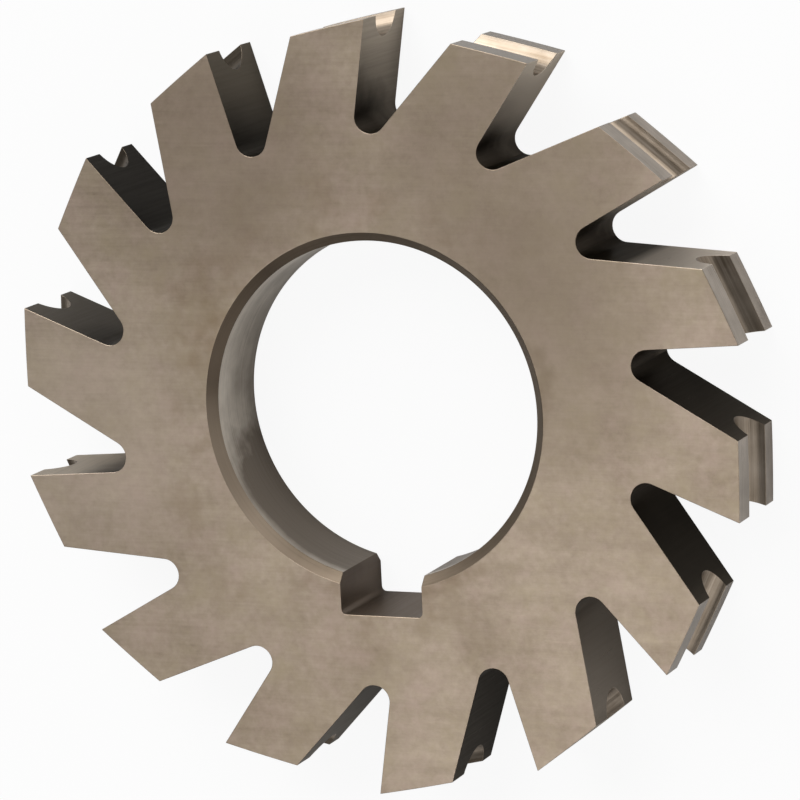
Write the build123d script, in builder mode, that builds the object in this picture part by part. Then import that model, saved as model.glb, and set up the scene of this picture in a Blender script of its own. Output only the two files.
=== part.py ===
from build123d import *
from math import atan2, cos, degrees, radians, sin, sqrt
import os

# Concave radius cutter: a form-relieved milling cutter with a keyed bore.
# +Z is the bore's axis. The cutter lies flat, its back face on Z = 0 and its
# front face up, with the keyway towards -Y. Seen from the front it cuts clockwise.
# Lengths are millimetres and angles are degrees.

# Body and bore
cutter_diameter = 58.1
cutter_width = 7.9375
bore_diameter = 25.4
bore_chamfer = 0.7

# Keyway: its reach is from the bore's axis to its floor
keyway_width = 6.5
keyway_reach = 15.35
keyway_corner_radius = 0.4

# Teeth and the gullets between them
tooth_count = 14
first_edge_angle = 88.3
rake_angle = 7.3
land_angle = 11.95
land_radius = 150.0
relief_drop = 0.8
gullet_angle = 33.8
root_radius = 1.2

# Groove along every land, which cuts a rounded edge on the work
groove_diameter = 3.96875
groove_depth = 1.58
groove_offset = -0.28

cutter_radius = cutter_diameter / 2
groove_radius = groove_diameter / 2
tooth_pitch = 360 / tooth_count


def polar(radius, angle):
    """Return the vector of a length at an angle round the bore's axis."""
    return Vector(radius * cos(radians(angle)), radius * sin(radians(angle)))


# Relief
# A tooth is drawn with its cutting edge on +X and its land running anticlockwise.
# Its land and groove are turned as one section about an axis of their own, far past
# the bore's, which leaves them nearly straight. The section falls as a whole, so the
# groove stays true when the tooth is sharpened.
edge = polar(cutter_radius, 0)
heel = polar(cutter_radius - relief_drop, land_angle)
land = heel - edge
land_normal = degrees(atan2(land.Y, land.X)) - 90
relief_centre = (edge + heel) / 2 - polar(sqrt(land_radius**2 - (land.length / 2) ** 2), land_normal)

# The relieving cut starts in the gullet ahead of its tooth and ends in the next one.
relief_arc = degrees(2 * land.length / land_radius)
relief_start = land_normal - relief_arc / 2
relief_plane = Plane(relief_centre, x_dir=polar(1, relief_start), z_dir=polar(1, relief_start - 90))

with BuildPart() as relief_cut:
    with BuildSketch(relief_plane):
        with Locations((land_radius, 0)):
            Rectangle(land.length / 2, cutter_width, align=(Align.MIN, Align.MIN))
        with Locations((land_radius + groove_radius - groove_depth, cutter_width / 2 + groove_offset)):
            Circle(groove_radius)
    revolve(axis=Axis(relief_centre, (0, 0, 1)), revolution_arc=relief_arc)

# Gullet
# It is milled straight through, from the land's heel to the next cutting face. Its
# two flat walls meet in a rounded root, and run on past the teeth to clear the blank.
next_edge = polar(cutter_radius, tooth_pitch)
face_angle = tooth_pitch + 180 - rake_angle
wall_angle = face_angle - gullet_angle
face_top = next_edge - polar(land.length / 2, face_angle)
wall_top = heel - polar(land.length / 2, wall_angle)
gullet_point = Axis(face_top, polar(1, face_angle)).intersect(Axis(wall_top, polar(1, wall_angle)))

with BuildSketch() as gullet:
    with BuildLine():
        FilletPolyline(face_top, gullet_point, wall_top, radius=root_radius)
        Line(wall_top, face_top)
    make_face()

# Cutter
# The blank is turned larger than the finished teeth, whose relief brings them to size.
with BuildPart() as cutter:
    with BuildSketch():
        Circle(cutter_radius + relief_drop)
        Circle(bore_diameter / 2, mode=Mode.SUBTRACT)
    extrude(amount=cutter_width)
    bore_rims = cutter.edges().filter_by(GeomType.CIRCLE).group_by(SortBy.RADIUS)[0]
    chamfer(bore_rims, length=bore_chamfer)

    with BuildSketch():
        with PolarLocations(0, tooth_count, start_angle=first_edge_angle):
            add(gullet.sketch)
    extrude(amount=cutter_width, mode=Mode.SUBTRACT)

    with PolarLocations(0, tooth_count, start_angle=first_edge_angle):
        add(relief_cut.part, mode=Mode.SUBTRACT)

    with BuildSketch() as keyway:
        Rectangle(keyway_width, keyway_reach, align=(Align.CENTER, Align.MAX))
        fillet(keyway.vertices().group_by(Axis.Y)[0], radius=keyway_corner_radius)
    extrude(amount=cutter_width, mode=Mode.SUBTRACT)

cutter.part.label = "concave_radius_cutter"
os.makedirs("parts", exist_ok=True)
export_step(cutter.part, "parts/concave_radius_cutter.step")
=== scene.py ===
"""Concave radius cutter: ground steel sides, dark milled gullets and bright relieved lands.

The cutter is one piece of steel, so it is one mesh, made of patches that share their edges:
the skin round the teeth, the wall of the bore and keyway, and the two ground sides. Sizes are
millimetres and angles are degrees until the mesh is written, in metres.
"""
import logging
import math
from dataclasses import dataclass, field
from enum import Enum
from typing import Any

import bmesh
import bpy
import numpy as np
from mathutils import Matrix, Vector


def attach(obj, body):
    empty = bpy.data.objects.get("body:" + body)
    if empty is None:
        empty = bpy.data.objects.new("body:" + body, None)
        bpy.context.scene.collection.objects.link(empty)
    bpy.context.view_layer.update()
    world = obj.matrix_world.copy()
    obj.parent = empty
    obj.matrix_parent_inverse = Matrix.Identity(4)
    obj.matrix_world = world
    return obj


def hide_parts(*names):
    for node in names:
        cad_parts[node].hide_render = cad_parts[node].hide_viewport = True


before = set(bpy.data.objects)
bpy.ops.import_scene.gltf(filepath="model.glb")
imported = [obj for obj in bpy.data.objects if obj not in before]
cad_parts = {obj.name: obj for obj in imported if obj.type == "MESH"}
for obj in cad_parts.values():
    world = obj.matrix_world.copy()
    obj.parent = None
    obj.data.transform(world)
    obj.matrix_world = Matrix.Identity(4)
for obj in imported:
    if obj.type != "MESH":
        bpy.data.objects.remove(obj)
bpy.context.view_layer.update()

NODE = "concave_radius_cutter"
BODY = "root"
MM = 0.001

log = logging.getLogger("cutter")


class Region(Enum):
    """The finishes of the cutter, by the number of the mesh's material slot."""

    SIDE = 0
    LAND = 1
    GULLET = 2
    FACE = 3
    BORE = 4
    CHAMFER = 5
    KEYWAY = 6
    GROOVE = 7


# Colours

Colour = tuple[float, float, float, float]
Pair = tuple[float, float]

# A screen's curve: straight up to the knee, and a power above it.
FULL = 255
KNEE, SLOPE, LIFT, POWER = 0.04045, 12.92, 0.055, 2.4


def rgb(red: float, green: float, blue: float) -> Colour:
    """Return an opaque colour.

    Args:
        red: Its red as seen on a screen, from 0 to 255.
        green: Its green.
        blue: Its blue.

    Returns:
        The colour in linear light, from 0 to 1, with its opacity.
    """
    seen = np.array([red, green, blue]) / FULL
    linear = np.where(seen <= KNEE, seen / SLOPE, ((seen + LIFT) / (1 + LIFT)) ** POWER)
    return (*map(float, linear), 1.0)


WHITE = rgb(FULL, FULL, FULL)


@dataclass(frozen=True)
class PaintedLightAndShade:
    """A round patch of another colour, painted shade where it is darker and painted light where it is
    lighter, which fades out between two distances from its middle.
    """

    colour: Colour
    place: Pair
    fade: Pair
    share: float = 1.0


# The middle of the noise's range.
MIDDLE = 0.5


@dataclass(frozen=True)
class Grain:
    """Noise of about 0 to 1, by the length of its features along X, Y and Z in millimetres.

    It is taken from further up by its lift, so that noises of one size can differ.
    """

    size: tuple[float, float, float]
    detail: float = 2.0
    rough: float = 0.5
    lift: float = 0.0


# Shader maths


class Shade:
    """A socket of a material, with the operators that add Math nodes."""

    def __init__(self, ink: "Palette", socket: bpy.types.NodeSocket) -> None:
        """Keep the socket and the palette that it belongs to."""
        self.ink = ink
        self.socket = socket

    def maths(self, operation: str, other: Any, reflected: bool = False) -> "Shade":
        """Add a Math node.

        Args:
            operation: The node's operation.
            other: Its other value, as a number or a socket.
            reflected: True if this socket is the node's second value.

        Returns:
            The node's result.
        """
        values = (other, self) if reflected else (self, other)
        return self.ink.node("ShaderNodeMath", {"operation": operation}, dict(enumerate(values)))

    def __add__(self, other: Any) -> "Shade":
        """Return the sum."""
        return self.maths("ADD", other)

    def __sub__(self, other: Any) -> "Shade":
        """Return the difference."""
        return self.maths("SUBTRACT", other)

    def __rsub__(self, other: Any) -> "Shade":
        """Return the difference, with this socket taken away."""
        return self.maths("SUBTRACT", other, reflected=True)

    def __mul__(self, other: Any) -> "Shade":
        """Return the product."""
        return self.maths("MULTIPLY", other)

    def __truediv__(self, other: Any) -> "Shade":
        """Return the quotient."""
        return self.maths("DIVIDE", other)

    def __rtruediv__(self, other: Any) -> "Shade":
        """Return the quotient, with this socket as the divisor."""
        return self.maths("DIVIDE", other, reflected=True)

    def __pow__(self, other: Any) -> "Shade":
        """Return the power."""
        return self.maths("POWER", other)

    def __rpow__(self, other: Any) -> "Shade":
        """Return the power, with this socket as the exponent."""
        return self.maths("POWER", other, reflected=True)

    __radd__ = __add__
    __rmul__ = __mul__

    def between(self, low: float, high: float) -> "Shade":
        """Return an even rise.

        Args:
            low: Where it is 0, and below.
            high: Where it is 1, and above.

        Returns:
            The rise.
        """
        ports = {"Value": self, "From Min": low, "From Max": high}
        return self.ink.node("ShaderNodeMapRange", {"clamp": True}, ports)


class Palette:
    """A material's node tree, and the few ways in which its nodes are added."""

    MIX_PORTS = (0, 6, 7)
    MIX_RESULT = 2

    def __init__(self, name: str) -> None:
        """Make a material with no nodes but the one for its place.

        Args:
            name: The material's name.
        """
        self.material = bpy.data.materials.new(name)
        self.material.use_nodes = True
        self.tree = self.material.node_tree
        self.tree.nodes.clear()
        self.place = self.node("ShaderNodeTexCoord", output="Object")

    def add(self, kind: str, settings: dict | None = None, ports: dict | None = None) -> bpy.types.Node:
        """Add any node.

        Args:
            kind: The node's type.
            settings: The node's settings, which are made first.
            ports: The values or links of its sockets, by their names or numbers.

        Returns:
            The node.
        """
        node = self.tree.nodes.new(kind)
        for name, value in (settings or {}).items():
            setattr(node, name, value)
        for port, value in (ports or {}).items():
            if isinstance(value, Shade):
                self.tree.links.new(value.socket, node.inputs[port])
            else:
                node.inputs[port].default_value = value
        return node

    def node(
        self, kind: str, settings: dict | None = None, ports: dict | None = None, output: Any = 0
    ) -> Shade:
        """Add any node, as above, and return its output of that name or number."""
        return Shade(self, self.add(kind, settings, ports).outputs[output])

    def axes(self) -> tuple[Shade, Shade, Shade]:
        """Return the place's X, Y and Z, in millimetres."""
        split = self.add("ShaderNodeSeparateXYZ", ports={0: self.place})
        return tuple(Shade(self, port) / MM for port in split.outputs)

    def noise(self, grain: Grain) -> Shade:
        """Return noise.

        Args:
            grain: Its sizes.

        Returns:
            The noise at the place, whose X, Y and lifted Z are divided by the sizes.
        """
        x, y, z = self.axes()
        across, along_y, upwards = grain.size
        at = {"X": x / across, "Y": y / along_y, "Z": (z + grain.lift) / upwards}
        vector = self.node("ShaderNodeCombineXYZ", ports=at)
        ports = {"Vector": vector, "Scale": 1.0, "Detail": grain.detail, "Roughness": grain.rough}
        return self.node("ShaderNodeTexNoise", ports=ports)

    def mix(self, low: Any, high: Any, share: Any) -> Shade:
        """Return the colour that is that share of the way from low to high."""
        ports = dict(zip(self.MIX_PORTS, (share, low, high)))
        return self.node("ShaderNodeMix", {"data_type": "RGBA"}, ports, self.MIX_RESULT)

    def paint_light_and_shade(self, colour: Shade, patches: tuple[PaintedLightAndShade, ...]) -> Shade:
        """Lay patches of painted shade and painted light over a colour, by the distance from each one's
        middle.

        Args:
            colour: The colour.
            patches: The patches of painted shade and light, from the lowest to the uppermost.

        Returns:
            The colour with its painted shade and light.
        """
        x, y, _ = self.axes()
        for patch in patches:
            apart = distance(x - patch.place[0], y - patch.place[1])
            colour = self.mix(colour, patch.colour, (1 - apart.between(*patch.fade)) * patch.share)
        return colour

    def steel(
        self, colour: Shade, roughness: Shade, relief: Shade, depth: float, glance: Colour = WHITE
    ) -> bpy.types.Material:
        """Finish the material as bare steel.

        Args:
            colour: Its colour.
            roughness: Its roughness.
            relief: The height of its fine marks, from 0 to 1.
            depth: How deep those marks are, in millimetres.
            glance: The tint of what it mirrors at a glancing angle.

        Returns:
            The material.
        """
        bump = self.node("ShaderNodeBump", ports={"Height": relief, "Strength": 1.0, "Distance": depth * MM})
        ports = {
            "Base Color": colour,
            "Roughness": roughness,
            "Metallic": 1.0,
            "Specular Tint": glance,
            "Normal": bump,
        }
        return self.finish(self.node("ShaderNodeBsdfPrincipled", ports=ports))

    def finish(self, surface: Shade) -> bpy.types.Material:
        """Give the material its surface, and return the material."""
        self.add("ShaderNodeOutputMaterial", ports={"Surface": surface})
        return self.material


def distance(x: Shade, y: Shade) -> Shade:
    """Return a distance: the root of the sum of the two squares."""
    return (x * x + y * y) ** 0.5


# Finishes


@dataclass(frozen=True)
class GroundSide:
    """Surface-ground steel: faint straight streaks, soft pink and olive tints and brown stains, with patches
    of painted shade and light laid over them.
    """

    name: str = "ground_side"
    colour: Colour = rgb(180, 164, 146)
    shadow: Colour = rgb(144, 129, 112)
    pink: Colour = rgb(181, 159, 149)
    olive: Colour = rgb(162, 149, 122)
    stain: Colour = rgb(127, 107, 82)
    streaks: Grain = Grain((5.0, 0.2, 1.0), detail=3.0, rough=0.6)
    bands: Grain = Grain((15.0, 1.2, 1.0))
    mottle: Grain = Grain((7.0, 7.0, 7.0), detail=4.0, rough=0.6)
    speckle: Grain = Grain((0.55, 0.55, 0.55), detail=3.0, rough=0.6, lift=60.0)
    tints: Grain = Grain((4.5, 4.5, 4.5), detail=5.0, rough=0.75, lift=20.0)
    stains: Grain = Grain((25 / 6, 25 / 6, 25 / 6), detail=3.0, rough=0.6, lift=40.0)
    streak_share: float = 0.3
    band_share: float = 0.24
    mottle_share: float = 0.8
    speckle_share: float = 0.5
    tone_span: Pair = (0.65, 1.19)
    tint_span: Pair = (0.5, 0.7)
    tint_share: float = 0.45
    stain_span: Pair = (0.5, 0.72)
    stain_reach: Pair = (14.0, 21.0)
    stain_share: float = 0.6
    roughness: float = 0.38
    streak_roughness: float = 0.16
    stain_roughness: float = 0.08
    mark_depth: float = 0.0025
    patches: tuple[PaintedLightAndShade, ...] = ()

    def material(self) -> bpy.types.Material:
        """Dress a new material.

        Returns:
            The material.
        """
        ink = Palette(self.name)
        x, y, _ = ink.axes()
        streaks = ink.noise(self.streaks)
        even = ink.noise(self.mottle) * self.mottle_share + ink.noise(self.speckle) * self.speckle_share
        lined = streaks * self.streak_share + ink.noise(self.bands) * self.band_share
        plain = ink.mix(self.shadow, self.colour, (lined + even).between(*self.tone_span))
        tint = ink.noise(self.tints)
        warm = ink.mix(plain, self.pink, tint.between(*self.tint_span) * self.tint_share)
        mixed = ink.mix(warm, self.olive, (1 - tint).between(*self.tint_span) * self.tint_share)
        near_bore = 1 - distance(x, y).between(*self.stain_reach)
        stained = ink.noise(self.stains).between(*self.stain_span) * near_bore
        colour = ink.paint_light_and_shade(ink.mix(mixed, self.stain, stained * self.stain_share), self.patches)
        uneven = (streaks - MIDDLE) * self.streak_roughness + stained * self.stain_roughness
        return ink.steel(colour, self.roughness + uneven, streaks, self.mark_depth)


@dataclass(frozen=True)
class RelievedLand:
    """Form-relieved steel, with fine lines that run along the land and the groove, and patches of painted
    shade laid over them.
    """

    name: str
    colour: Colour
    shadow: Colour
    lines: Grain = Grain((25 / 3, 25 / 3, 0.09))
    cloud: Grain = Grain((2.0, 2.0, 2.0), detail=3.0)
    line_share: float = 0.6
    cloud_share: float = 0.5
    tone_span: Pair = (0.35, 0.8)
    roughness: float = 0.3
    line_roughness: float = 0.12
    mark_depth: float = 0.004
    patches: tuple[PaintedLightAndShade, ...] = ()

    def material(self) -> bpy.types.Material:
        """Dress a new material.

        Returns:
            The material.
        """
        ink = Palette(self.name)
        lines = ink.noise(self.lines)
        tone = lines * self.line_share + ink.noise(self.cloud) * self.cloud_share
        plain = ink.mix(self.shadow, self.colour, tone.between(*self.tone_span))
        roughness = self.roughness + (lines - MIDDLE) * self.line_roughness
        return ink.steel(ink.paint_light_and_shade(plain, self.patches), roughness, lines, self.mark_depth)


@dataclass(frozen=True)
class MilledWall:
    """A milled wall: streaks along the cutter's axis, and darker towards its root, which in the gullets is
    partly dark scale and partly painted shade.

    Its dark root may reach further out at the front than at the back, and that reach is painted shade.
    Patches of painted shade and light are laid over it.
    """

    name: str
    colour: Colour
    root: Colour
    # The root's darkening is partly dark scale and partly painted shade; the front shade is painted shade.
    root_span: Pair = (21.0, 25.0)
    front_shade: float = 0.0
    streaks: Grain = Grain((0.2, 0.2, 25 / 3), detail=3.0)
    cloud: Grain = Grain((20 / 9, 20 / 9, 20 / 9), detail=3.0)
    cloud_reach: float = 3.0
    streak_share: float = 0.55
    roughness: float = 0.45
    streak_roughness: float = 0.2
    mark_depth: float = 0.006
    glance: Colour = WHITE
    patches: tuple[PaintedLightAndShade, ...] = ()

    def material(self) -> bpy.types.Material:
        """Dress a new material.

        Returns:
            The material.
        """
        ink = Palette(self.name)
        x, y, z = ink.axes()
        streaks = ink.noise(self.streaks)
        uneven = (ink.noise(self.cloud) - MIDDLE) * self.cloud_reach
        # Painted shade with dark scale: the root's darkening, reaching further out towards the front face.
        reach = distance(x, y) + uneven - z * self.front_shade
        plain = ink.mix(self.root, self.colour, reach.between(*self.root_span))
        streaked = ink.mix(plain, self.root, (1 - streaks) * self.streak_share)
        roughness = self.roughness + (streaks - MIDDLE) * self.streak_roughness
        colour = ink.paint_light_and_shade(streaked, self.patches)
        return ink.steel(colour, roughness, streaks, self.mark_depth, self.glance)


@dataclass(frozen=True)
class BoreWall:
    """A ground bore: fine rings round its wall, with a thin brown film in patches, and painted shade in the
    film's colour.

    Painted shade darkens the wall in its middle more than by the front face, more so on the keyway's side,
    and again by the back face.
    """

    name: str
    colour: Colour
    film_and_shade: Colour
    rings: Grain = Grain((10.0, 10.0, 0.12))
    cloud: Grain = Grain((10 / 3, 10 / 3, 10 / 3), detail=3.0, rough=0.6)
    # Painted shade: where the wall is darkened low on the keyway's side, in its middle and by the back face,
    # and by how much.
    low_shade_drift: float = 4.0
    low_shade_span: Pair = (3.4, 7.6)
    low_shade_top: Pair = (5.4, 8.2)
    middle_shade_top: Pair = (4.8, 6.8)
    back_shade_top: Pair = (0.9, 2.4)
    cloud_share: float = 0.5
    middle_shade_share: float = 0.22
    low_shade_share: float = 0.6
    film_and_shade_span: Pair = (0.15, 0.75)
    film_and_shade_share: float = 0.9
    ring_span: Pair = (0.5, 0.8)
    ring_share: float = 0.4
    back_shade_share: float = 0.35
    roughness: float = 0.32
    ring_roughness: float = 0.15
    film_and_shade_roughness: float = 0.1
    mark_depth: float = 0.003
    patches: tuple[PaintedLightAndShade, ...] = ()

    def material(self) -> bpy.types.Material:
        """Dress a new material.

        Returns:
            The material.
        """
        ink = Palette(self.name)
        _, y, z = ink.axes()
        rings, cloud = ink.noise(self.rings), ink.noise(self.cloud)
        # Painted shade in the film's colour: darker low on the keyway's side, in the middle of the wall and
        # by the back face; only the cloud's patches are film.
        low = (cloud * self.low_shade_drift - y).between(*self.low_shade_span) * (1 - z.between(*self.low_shade_top))
        middle = 1 - z.between(*self.middle_shade_top)
        film_and_shade_weight = cloud * self.cloud_share + middle * self.middle_shade_share + low * self.low_shade_share
        film_and_shade = film_and_shade_weight.between(*self.film_and_shade_span)
        plain = ink.mix(self.colour, self.film_and_shade, film_and_shade * self.film_and_shade_share)
        ringed = ink.mix(plain, self.film_and_shade, rings.between(*self.ring_span) * self.ring_share)
        # Painted shade by the back face.
        shaded = ink.mix(ringed, self.film_and_shade, (1 - z.between(*self.back_shade_top)) * self.back_shade_share)
        uneven = (rings - MIDDLE) * self.ring_roughness + film_and_shade * self.film_and_shade_roughness
        colour = ink.paint_light_and_shade(shaded, self.patches)
        return ink.steel(colour, self.roughness + uneven, rings, self.mark_depth)


FINISHES = {
    Region.SIDE: GroundSide(
        patches=(
            # Painted shade on the flat sides: darker patches right of the bore and above it on both sides;
            # painted light: a lighter patch at the far left.
            PaintedLightAndShade(rgb(132, 118, 102), place=(14.0, 6.0), fade=(3.0, 12.0), share=0.55),
            PaintedLightAndShade(rgb(132, 117, 102), place=(-11.0, 19.0), fade=(5.0, 12.0), share=0.5),
            PaintedLightAndShade(rgb(132, 118, 102), place=(11.0, 18.0), fade=(6.0, 13.0), share=0.45),
            PaintedLightAndShade(rgb(204, 188, 171), place=(-25.0, -2.0), fade=(6.0, 13.0), share=0.27),
        ),
    ),
    Region.LAND: RelievedLand(
        "relieved_land",
        colour=rgb(180, 168, 155),
        shadow=rgb(132, 121, 108),
        # Painted shade: a darker patch over the land of the tooth above and right of the bore, where it
        # mirrors less light.
        patches=(PaintedLightAndShade(rgb(134, 124, 112), place=(10.6, 27.0), fade=(5.0, 10.0)),),
    ),
    Region.GROOVE: RelievedLand(
        "relieved_groove",
        colour=rgb(162, 150, 136),
        shadow=rgb(112, 99, 84),
        # Painted shade: a darker patch over the grooves of the teeth at the upper left.
        patches=(PaintedLightAndShade(rgb(82, 74, 64), place=(-17.0, 21.0), fade=(9.0, 17.0), share=0.85),),
    ),
    Region.GULLET: MilledWall(
        "milled_gullet",
        colour=rgb(94, 87, 77),
        root=rgb(56, 50, 43),
        roughness=0.32,
        glance=rgb(214, 210, 205),
        patches=(
            # Painted highlight: a bright patch on one gullet wall, where a lamp is mirrored.
            PaintedLightAndShade(rgb(224, 215, 204), place=(26.0, 11.1), fade=(4.9, 6.1)),
            # Painted shade: dark patches on the gullet walls at the right and below; painted light: a
            # lighter patch between them.
            PaintedLightAndShade(rgb(26, 23, 20), place=(24.9, 1.7), fade=(3.0, 6.0), share=0.7),
            PaintedLightAndShade(rgb(20, 18, 15), place=(23.3, -9.2), fade=(3.0, 6.0), share=0.8),
            PaintedLightAndShade(rgb(20, 18, 15), place=(7.3, -24.0), fade=(3.5, 6.5), share=0.95),
            PaintedLightAndShade(rgb(140, 131, 121), place=(17.0, -18.4), fade=(3.5, 6.0), share=0.8),
        ),
    ),
    Region.FACE: MilledWall(
        "cutting_face",
        colour=rgb(196, 184, 168),
        root=rgb(66, 58, 49),
        # Painted shade with dark scale: darker towards the root, reaching further out at the front.
        root_span=(19.6, 23.0),
        front_shade=0.34,
        glance=rgb(234, 231, 227),
        patches=(
            # Painted shade: dark patches on the cutting faces at the upper left, less dark at one tooth
            # there; painted highlight: a bright patch on the faces at the upper right.
            PaintedLightAndShade(rgb(30, 26, 20), place=(-20.0, 17.0), fade=(11.0, 23.0), share=0.95),
            PaintedLightAndShade(rgb(96, 88, 76), place=(-13.0, 26.0), fade=(3.0, 7.0), share=0.8),
            PaintedLightAndShade(rgb(234, 222, 206), place=(12.3, 23.8), fade=(2.8, 5.0), share=0.65),
            PaintedLightAndShade(rgb(14, 12, 10), place=(-19.5, 15.5), fade=(4.5, 9.5), share=0.8),
        ),
    ),
    Region.BORE: BoreWall("bore_wall", colour=rgb(226, 216, 202), film_and_shade=rgb(97, 85, 71)),
    Region.CHAMFER: BoreWall(
        "bore_chamfer",
        colour=rgb(130, 117, 102),
        film_and_shade=rgb(92, 80, 67),
        roughness=0.5,
        patches=(
            # Painted shade: a darker patch on the chamfer at the upper left; painted highlight: a lighter
            # patch at the lower left.
            PaintedLightAndShade(rgb(88, 77, 66), place=(-11.4, 6.6), fade=(5.0, 9.0), share=0.9),
            PaintedLightAndShade(rgb(158, 143, 126), place=(-12.2, -6.3), fade=(3.0, 7.5), share=0.7),
        ),
    ),
    Region.KEYWAY: MilledWall(
        "broached_keyway",
        colour=rgb(114, 100, 86),
        root=rgb(84, 71, 59),
        root_span=(12.0, 14.0),
    ),
}


# The cutter's shape


def polar(radius: Any, angle: Any) -> np.ndarray:
    """Return points at a radius and an angle: radius times the cosine and sine of the angle."""
    turn = np.radians(angle)
    return np.stack([radius * np.cos(turn), radius * np.sin(turn)], axis=-1)


def turned(points: np.ndarray, angle: float) -> np.ndarray:
    """Return points turned about the bore's axis, by the plane's rotation matrix."""
    c, s = math.cos(math.radians(angle)), math.sin(math.radians(angle))
    return points @ np.array([[c, s], [-s, c]])


def along(start: np.ndarray, end: np.ndarray, steps: int) -> np.ndarray:
    """Return evenly spaced points from start to end: start plus a share of their difference."""
    share = np.linspace(0, 1, steps + 1)[:, None, None]
    return start + share * (end - start)


def arc(centre: np.ndarray, start: np.ndarray, end: np.ndarray, steps: int) -> np.ndarray:
    """Return points on the short arc about a centre, from start to end.

    The angle from the first point to the last is shared out evenly, and each point is the
    centre plus the first radius turned by its share of that angle.

    Args:
        centre: The arc's centre.
        start: Where it starts, one point for each level.
        end: Where it ends, one point for each level.
        steps: How many steps it has.

    Returns:
        The points, as steps + 1 rows of one point for each level.
    """
    first = (start - centre)[..., 0] + 1j * (start - centre)[..., 1]
    last = (end - centre)[..., 0] + 1j * (end - centre)[..., 1]
    turn = np.angle(last / first)
    share = np.linspace(0, 1, steps + 1)[:, None]
    swept = first * np.exp(1j * turn * share)
    return np.stack([swept.real, swept.imag], axis=-1) + centre


@dataclass
class MeshPlan:
    """Patches of quads that are joined into one mesh."""

    points: list[np.ndarray] = field(default_factory=list)
    quads: list[np.ndarray] = field(default_factory=list)
    regions: list[np.ndarray] = field(default_factory=list)
    count: int = 0

    def patch(self, grid: np.ndarray, region: Any, inward: bool = False) -> None:
        """Add a grid of points, whose faces look along its first direction crossed with its second.

        Args:
            grid: The points, as rows, columns and X, Y, Z.
            region: The finish of the patch, or an array of it that spreads over its faces.
            inward: True if the faces look the other way.
        """
        rows, columns = grid.shape[:2]
        number = np.arange(rows * columns).reshape(rows, columns) + self.count
        corners = [number[:-1, :-1], number[1:, :-1], number[1:, 1:], number[:-1, 1:]]
        if inward:
            corners.reverse()
        each = np.broadcast_to(region, (rows - 1, columns - 1))
        self.points.append(grid.reshape(-1, 3))
        self.quads.append(np.stack(corners, axis=-1).reshape(-1, 4))
        self.regions.append(each.reshape(-1))
        self.count += rows * columns

    def mesh(self, name: str, join_within: float) -> bpy.types.Mesh:
        """Write the patches as one mesh, in metres, with the points that they share joined.

        Args:
            name: The mesh's name.
            join_within: How close points are that are joined, in millimetres.

        Returns:
            The mesh.
        """
        points = np.concatenate(self.points) * MM
        quads = np.concatenate(self.quads)
        mesh = bpy.data.meshes.new(name)
        mesh.vertices.add(len(points))
        mesh.vertices.foreach_set("co", points.ravel())
        mesh.loops.add(quads.size)
        mesh.loops.foreach_set("vertex_index", quads.ravel())
        mesh.polygons.add(len(quads))
        mesh.polygons.foreach_set("loop_start", np.arange(0, quads.size, quads.shape[1]))
        mesh.polygons.foreach_set("material_index", np.concatenate(self.regions))
        mesh.update(calc_edges=True)
        work = bmesh.new()
        work.from_mesh(mesh)
        bmesh.ops.remove_doubles(work, verts=work.verts, dist=join_within * MM)
        work.to_mesh(mesh)
        work.free()
        mesh.polygons.foreach_set("use_smooth", np.ones(len(mesh.polygons), bool))
        mesh.update()
        return mesh


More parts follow.
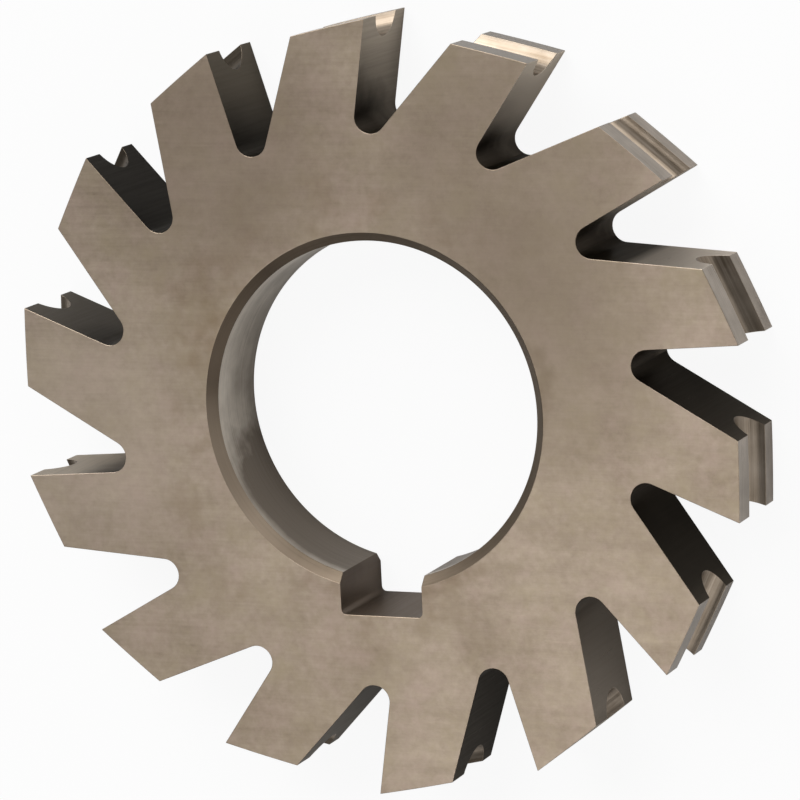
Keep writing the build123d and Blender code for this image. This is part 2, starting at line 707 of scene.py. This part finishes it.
@dataclass
class Cutter:
    """The whole cutter, in millimetres and degrees, lying on its back face.

    A tooth is worked out with its cutting edge on +X and its land running anticlockwise. Its
    walls are each a point and the way inwards from it.
    """

    name: str = "cutter_body"
    diameter: float = 58.1
    width: float = 7.9375
    bore_diameter: float = 25.4
    bore_chamfer: float = 0.7
    keyway_width: float = 6.5
    keyway_reach: float = 15.35
    keyway_corner: float = 0.4
    tooth_count: int = 14
    first_edge_angle: float = 88.3
    rake_angle: float = 7.3
    land_angle: float = 11.95
    land_radius: float = 150.0
    relief_drop: float = 0.8
    gullet_angle: float = 33.8
    root_radius: float = 1.2
    groove_diameter: float = 3.96875
    groove_depth: float = 1.58
    groove_offset: float = -0.28
    rim_dip: float = 1.6
    edge_break: float = 0.045
    edge_steps: int = 2
    sharp_from: float = 30.0
    join_within: float = 0.001
    land_steps: int = 16
    flank_steps: int = 12
    root_steps: int = 8
    groove_steps: int = 28
    back_steps: int = 4
    front_steps: int = 5
    side_steps: int = 7
    bore_steps: int = 6
    chamfer_steps: int = 1
    keyway_floor_steps: int = 4
    keyway_corner_steps: int = 4
    keyway_wall_steps: int = 5
    edge: np.ndarray = field(init=False, repr=False)
    heel: np.ndarray = field(init=False, repr=False)
    face_way: np.ndarray = field(init=False, repr=False)
    heel_way: np.ndarray = field(init=False, repr=False)
    relief_centre: np.ndarray = field(init=False, repr=False)
    root_centre: np.ndarray = field(init=False, repr=False)

    def __post_init__(self) -> None:
        """Work out the axis about which the lands are relieved, and the walls of the gullets.

        The land is an arc from the edge to the heel, whose axis is inwards from the middle of the
        line between them, by the root of the land's radius squared less half the line squared. The
        root's circle touches both walls, so its centre is on the line that halves their angle.
        """
        radius = self.diameter / 2
        self.edge = polar(radius, 0.0)
        self.heel = polar(radius - self.relief_drop, self.land_angle)
        half = (self.heel - self.edge) / 2
        reach = math.sqrt(self.land_radius**2 - half @ half)
        inwards = np.array([-half[1], half[0]]) / np.linalg.norm(half)
        self.relief_centre = self.edge + half + reach * inwards
        self.face_way = polar(1.0, 180 - self.rake_angle)
        self.heel_way = turned(self.face_way, self.pitch - self.gullet_angle)
        next_edge, next_way = turned(self.edge, self.pitch), turned(self.face_way, self.pitch)
        steps = np.linalg.solve(np.stack([next_way, -self.heel_way], axis=1), self.heel - next_edge)
        corner = next_edge + steps[0] * next_way
        middle = -(next_way + self.heel_way)
        middle /= np.linalg.norm(middle)
        self.root_centre = corner + middle * self.root_radius / math.sin(math.radians(self.gullet_angle / 2))

    @property
    def pitch(self) -> float:
        """Return the angle from one tooth to the next."""
        return 360 / self.tooth_count

    @property
    def angles(self) -> np.ndarray:
        """Return the angle of each tooth's cutting edge."""
        return self.first_edge_angle + np.arange(self.tooth_count) * self.pitch

    def levels(self) -> tuple[np.ndarray, np.ndarray]:
        """Work out the levels at which the teeth are cut.

        The groove is a circle's arc: its height is the circle's middle plus the radius times the
        sine of an angle, and its depth is the full depth less the radius times one minus the cosine.

        Returns:
            The heights, and the groove's depth at each.
        """
        circle = self.groove_diameter / 2
        middle = self.width / 2 + self.groove_offset
        reach = math.acos(1 - self.groove_depth / circle)
        turn = np.linspace(-reach, reach, self.groove_steps + 1)
        heights = middle + circle * np.sin(turn)
        depths = np.maximum(self.groove_depth - circle * (1 - np.cos(turn)), 0)
        back = np.linspace(0, heights[0], self.back_steps + 1)[:-1]
        front = np.linspace(heights[-1], self.width, self.front_steps + 1)[1:]
        heights = np.concatenate([back, heights, front])
        return heights, np.pad(depths, (self.back_steps, self.front_steps))

    def meet(self, start: np.ndarray, way: np.ndarray, depths: np.ndarray) -> np.ndarray:
        """Find where a wall meets the land or the groove.

        The wall is a line, and the land a circle about the relief's axis, smaller by the depth:
        the nearer root of the quadratic in the distance along the line.

        Args:
            start: A point of the wall.
            way: The wall's way inwards.
            depths: The groove's depth at each level.

        Returns:
            One point for each depth.
        """
        apart = start - self.relief_centre
        half = apart @ way
        rest = apart @ apart - (self.land_radius - depths) ** 2
        return start + (-half - np.sqrt(half * half - rest))[:, None] * way

    def tooth_outline(self, depths: np.ndarray) -> dict[str, np.ndarray]:
        """Work out a tooth's outline at each depth, as the stretches that make it up.

        The stretches run from the bottom of the gullet ahead, up the cutting face, along the land
        and down the heel to the bottom of the next gullet.

        Args:
            depths: The groove's depth at each level.

        Returns:
            The root, face, land, heel and next root, each as rows of a point for each level.
        """
        one = np.ones((len(depths), 1))
        root_after = self.root_centre
        root_ahead = turned(root_after, -self.pitch)
        bottom = root_ahead * (1 - self.root_radius / np.linalg.norm(root_ahead))
        face_foot = self.edge + ((root_ahead - self.edge) @ self.face_way) * self.face_way
        heel_foot = self.heel + ((root_after - self.heel) @ self.heel_way) * self.heel_way
        face_top = self.meet(self.edge, self.face_way, depths)
        heel_top = self.meet(self.heel, self.heel_way, depths)
        return {
            "root": arc(root_ahead, bottom * one, face_foot * one, self.root_steps),
            "face": along(face_foot * one, face_top, self.flank_steps),
            "land": arc(self.relief_centre, face_top, heel_top, self.land_steps),
            "heel": along(heel_top, heel_foot * one, self.flank_steps),
            "next": arc(root_after, heel_foot * one, turned(bottom, self.pitch) * one, self.root_steps),
        }

    def add_teeth(self, plan: MeshPlan) -> None:
        """Add the skin round the teeth: the outline carried across the width, level by level.

        Args:
            plan: The mesh's plan.
        """
        heights, depths = self.levels()
        grooved = depths[:-1] + depths[1:] > 0
        finish = {
            "root": Region.FACE.value,
            "face": Region.FACE.value,
            "land": np.where(grooved, Region.GROOVE.value, Region.LAND.value),
            "heel": Region.GULLET.value,
            "next": Region.GULLET.value,
        }
        for name, flat in self.tooth_outline(depths).items():
            tall = np.broadcast_to(heights, flat.shape[:2])
            for angle in self.angles:
                plan.patch(np.dstack([turned(flat, angle), tall]), finish[name])

    def rim(self) -> np.ndarray:
        """Work out one tooth's stretch of the line between the hub and the teeth.

        It goes from one gullet's bottom to the next, and dips inwards between them by a half sine.

        Returns:
            The points.
        """
        bottom = np.linalg.norm(self.root_centre) - self.root_radius
        last = math.degrees(math.atan2(self.root_centre[1], self.root_centre[0]))
        share = np.linspace(0, 1, self.land_steps + 1)
        return polar(bottom - self.rim_dip * np.sin(np.pi * share), last - self.pitch * (1 - share))

    def tooth_side(self) -> np.ndarray:
        """Work out a tooth's flat side as a grid from the rim up to the land.

        Each point is the blend of the four edges: the two lines across it, plus the two lines
        along it, less the blend of the corners.

        Returns:
            The points, as rows across the tooth.
        """
        part = {name: flat[:, 0] for name, flat in self.tooth_outline(np.zeros(1)).items()}
        low, high = self.rim(), part["land"]
        left = np.concatenate([part["root"], part["face"][1:]])
        right = np.concatenate([part["heel"], part["next"][1:]])[::-1]
        across = np.linspace(0, 1, len(low))[:, None, None]
        up = np.linspace(0, 1, len(left))[None, :, None]
        lines = (1 - up) * low[:, None] + up * high[:, None] + (1 - across) * left + across * right
        corners = (1 - across) * ((1 - up) * low[0] + up * high[0])
        corners = corners + across * ((1 - up) * low[-1] + up * high[-1])
        return lines - corners

    def bore_line(self, chamfer: float) -> tuple[np.ndarray, np.ndarray]:
        """Work out the line round the bore and keyway, anticlockwise from the keyway's middle.

        The keyway's floor, corners and walls are half a rectangle with rounded corners, mirrored,
        and the rest is the bore's circle.

        Args:
            chamfer: How much larger than the bore the circle is.

        Returns:
            The points, and the finish of the wall between each one and the next.
        """
        radius = self.bore_diameter / 2 + chamfer
        half, floor, corner = self.keyway_width / 2, -self.keyway_reach, self.keyway_corner
        mouth = np.array([[half, -math.sqrt(radius**2 - half**2)]])
        centre = np.array([half - corner, floor + corner])
        start, end = np.array([[0.0, floor]]), np.array([[half - corner, floor]])
        bed = along(start, end, self.keyway_floor_steps)[:, 0]
        turn = arc(centre, end, np.array([[half, floor + corner]]), self.keyway_corner_steps)[:, 0]
        wall = along(turn[-1:], mouth, self.keyway_wall_steps)[:, 0]
        slot = np.concatenate([bed, turn[1:], wall[1:]])
        steps = self.tooth_count * self.land_steps - 2 * (len(slot) - 1)
        mouth_angle = math.degrees(math.atan2(mouth[0, 1], half))
        circle = polar(radius, np.linspace(mouth_angle, 180 - mouth_angle, steps + 1))
        mirrored = (slot * [-1, 1])[::-1]
        line = np.concatenate([slot, circle[1:], mirrored[1:]])
        finish = np.full((len(line) - 1, 1), Region.BORE.value)
        finish[: len(slot) - 1] = finish[1 - len(slot) :] = Region.KEYWAY.value
        return line, finish

    def add_bore(self, plan: MeshPlan) -> None:
        """Add the wall of the bore and keyway, with the chamfers at both faces.

        Each stretch blends the line at its bottom into the line at its top.

        Args:
            plan: The mesh's plan.
        """
        chamfer, top = self.bore_chamfer, self.width
        wide, finish = self.bore_line(chamfer)
        line, _ = self.bore_line(0.0)
        beside = np.where(finish == Region.BORE.value, Region.CHAMFER.value, finish)
        for low, high, bottom, end, steps, region in (
            (wide, line, 0.0, chamfer, self.chamfer_steps, beside),
            (line, line, chamfer, top - chamfer, self.bore_steps, finish),
            (line, wide, top - chamfer, top, self.chamfer_steps, beside),
        ):
            share = np.linspace(0, 1, steps + 1)[None, :, None]
            flat = (1 - share) * low[:, None] + share * high[:, None]
            tall = np.broadcast_to(bottom + share[..., 0] * (end - bottom), flat.shape[:2])
            plan.patch(np.dstack([flat, tall]), region, inward=True)

    def add_sides(self, plan: MeshPlan) -> None:
        """Add both ground sides: a ring round the bore, and the flat of each tooth.

        The ring's outer line starts at its point nearest to the middle of the keyway.

        Args:
            plan: The mesh's plan.
        """
        rim = self.rim()[:-1]
        outer = np.concatenate([turned(rim, angle) for angle in self.angles])
        start = int(np.argmin(outer[:, 1] / np.linalg.norm(outer, axis=1)))
        outer = np.roll(outer, -start, axis=0)
        outer = np.concatenate([outer, outer[:1]])
        inner, _ = self.bore_line(self.bore_chamfer)
        share = np.linspace(0, 1, self.side_steps + 1)[None, :, None]
        ring = (1 - share) * inner[:, None] + share * outer[:, None]
        tooth = self.tooth_side()
        flats = [ring, *(turned(tooth, angle) for angle in self.angles)]
        for height, down in ((0.0, False), (self.width, True)):
            for flat in flats:
                tall = np.full(flat.shape[:2], height)
                plan.patch(np.dstack([flat, tall]), Region.SIDE.value, inward=down)

    def build(self) -> bpy.types.Object:
        """Make the cutter's mesh, break its edges and put it in the CAD solid's place.

        Returns:
            The cutter.
        """
        plan = MeshPlan()
        self.add_teeth(plan)
        self.add_bore(plan)
        self.add_sides(plan)
        piece = bpy.data.objects.new(self.name, plan.mesh(self.name, self.join_within))
        bpy.context.scene.collection.objects.link(piece)
        bevel = piece.modifiers.new("edge_break", "BEVEL")
        bevel.width = self.edge_break * MM
        bevel.segments = self.edge_steps
        bevel.limit_method = "ANGLE"
        bevel.angle_limit = math.radians(self.sharp_from)
        bevel.harden_normals = True
        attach(piece, BODY)
        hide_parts(NODE)
        return piece

    def dress(self, piece: bpy.types.Object) -> None:
        """Give each region of the cutter its finish, in the order of the regions."""
        for region in Region:
            piece.data.materials.append(FINISHES[region].material())


# The studio


@dataclass(frozen=True)
class Lamp:
    """A soft rectangular lamp that faces the cutter. Its brightness is 1 where it looks white."""

    name: str
    azimuth: float
    rise: float
    width: float
    height: float
    brightness: float
    distance: float = 1.2

    def add(self) -> None:
        """Add the lamp, whose power is pi times its area times its brightness."""
        azimuth, rise = math.radians(self.azimuth), math.radians(self.rise)
        level = math.cos(rise)
        way = Vector((level * math.cos(azimuth), level * math.sin(azimuth), math.sin(rise)))
        data = bpy.data.lights.new(self.name, "AREA")
        data.shape = "RECTANGLE"
        data.size, data.size_y = self.width, self.height
        data.energy = math.pi * self.width * self.height * self.brightness
        lamp = bpy.data.objects.new(self.name, data)
        lamp.location = way * self.distance
        lamp.rotation_mode = "QUATERNION"
        lamp.rotation_quaternion = way.to_track_quat("Z", "Y")
        bpy.context.scene.collection.objects.link(lamp)


LAMPS = (
    Lamp("front_lamp", azimuth=239.5, rise=66.8, width=0.5, height=0.5, brightness=2.35),
    Lamp("top_lamp", azimuth=112.0, rise=38.0, width=0.85, height=1.3, brightness=5.0),
    Lamp("corner_lamp", azimuth=62.0, rise=6.0, width=0.75, height=0.8, brightness=2.6),
    Lamp("side_lamp", azimuth=-19.0, rise=6.0, width=2.2, height=0.42, brightness=0.9, distance=1.0),
    Lamp("low_lamp", azimuth=-46.0, rise=32.0, width=1.25, height=0.8, brightness=1.0),
)


@dataclass
class Studio:
    """A pale floor, soft lamps and the camera of the photograph."""

    camera_yaw: float = 22.7464
    camera_rise: float = 10.4532
    camera_roll: float = -2.7573
    camera_distance: float = 346.60
    camera_right: float = -0.9407
    camera_up: float = -0.5218
    camera_pixels: float = 4616.0
    frame_pixels: float = 800.0
    sensor: float = 36.0
    clip: Pair = (0.01, 20.0)
    floor_size: float = 6000.0
    floor_gap: float = 0.02
    floor_paint: Colour = (0.7, 0.7, 0.7, 1.0)
    floor_glow: float = 0.92
    mirrored_glow: float = 0.1
    sky: float = 0.21

    def add_camera(self) -> None:
        """Add the camera, which looks down on the cutter from the photograph's side.

        Its way back is turned by the yaw about +Y and raised by the rise towards +Y. The right
        and up directions are square to it, and turned about it by the roll.
        """
        yaw, rise, roll = (math.radians(a) for a in (self.camera_yaw, self.camera_rise, self.camera_roll))
        back = Vector((math.sin(yaw) * math.cos(rise), math.sin(rise), math.cos(yaw) * math.cos(rise)))
        level = Vector((0, 1, 0)).cross(back).normalized()
        steep = back.cross(level)
        right = math.cos(roll) * level + math.sin(roll) * steep
        up = math.cos(roll) * steep - math.sin(roll) * level
        place = right * self.camera_right + up * self.camera_up + back * self.camera_distance
        data = bpy.data.cameras.new("camera")
        data.sensor_width = self.sensor
        data.sensor_fit = "HORIZONTAL"
        data.lens = self.sensor * self.camera_pixels / self.frame_pixels
        data.clip_start, data.clip_end = self.clip
        camera = bpy.data.objects.new("camera", data)
        facing = Matrix((right, up, back)).transposed().to_4x4()
        camera.matrix_world = Matrix.Translation(place * MM) @ facing
        bpy.context.scene.collection.objects.link(camera)
        bpy.context.scene.camera = camera

    def add_floor(self) -> None:
        """Add a flat pale floor, which looks white to the camera and keeps a soft shadow.

        It glows less where it is mirrored, so that the steel shows the floor's shadow too.
        """
        half = self.floor_size / 2
        corners = np.array([[-half, -half], [half, -half], [half, half], [-half, half]])
        points = np.column_stack([corners, np.full(len(corners), -self.floor_gap)]) * MM
        mesh = bpy.data.meshes.new("floor")
        mesh.from_pydata(points.tolist(), [], [range(len(corners))])
        floor = bpy.data.objects.new("floor", mesh)
        bpy.context.scene.collection.objects.link(floor)
        ink = Palette("pale_floor")
        path = ink.add("ShaderNodeLightPath")
        rays = ("Is Camera Ray", "Is Glossy Ray", "Is Transmission Ray")
        seen, mirrored, through = (Shade(ink, path.outputs[ray]) for ray in rays)
        share = seen * self.floor_glow + (mirrored + through) * self.mirrored_glow
        paint = ink.node("ShaderNodeBsdfDiffuse", ports={"Color": self.floor_paint})
        glow = ink.node("ShaderNodeEmission", ports={"Color": WHITE, "Strength": 1.0})
        lit = ink.node("ShaderNodeMixShader", ports={0: share, 1: paint, 2: glow})
        mesh.materials.append(ink.finish(lit))

    def add_sky(self) -> None:
        """Light the cutter evenly from all round."""
        world = bpy.data.worlds.new("studio")
        world.use_nodes = True
        ground = world.node_tree.nodes["Background"]
        ground.inputs["Color"].default_value = WHITE
        ground.inputs["Strength"].default_value = self.sky
        bpy.context.scene.world = world

    def build(self) -> None:
        """Make the whole studio."""
        self.add_camera()
        self.add_floor()
        self.add_sky()
        for lamp in LAMPS:
            lamp.add()
        bpy.context.scene.view_settings.view_transform = "Standard"


def main() -> None:
    """Build and dress the cutter and its studio."""
    logging.basicConfig(level=logging.INFO, format="%(name)s: %(message)s")
    cutter = Cutter()
    piece = cutter.build()
    cutter.dress(piece)
    log.info("%s: %d points, %d faces", piece.name, len(piece.data.vertices), len(piece.data.polygons))
    Studio().build()


if __name__ == "__main__":
    main()
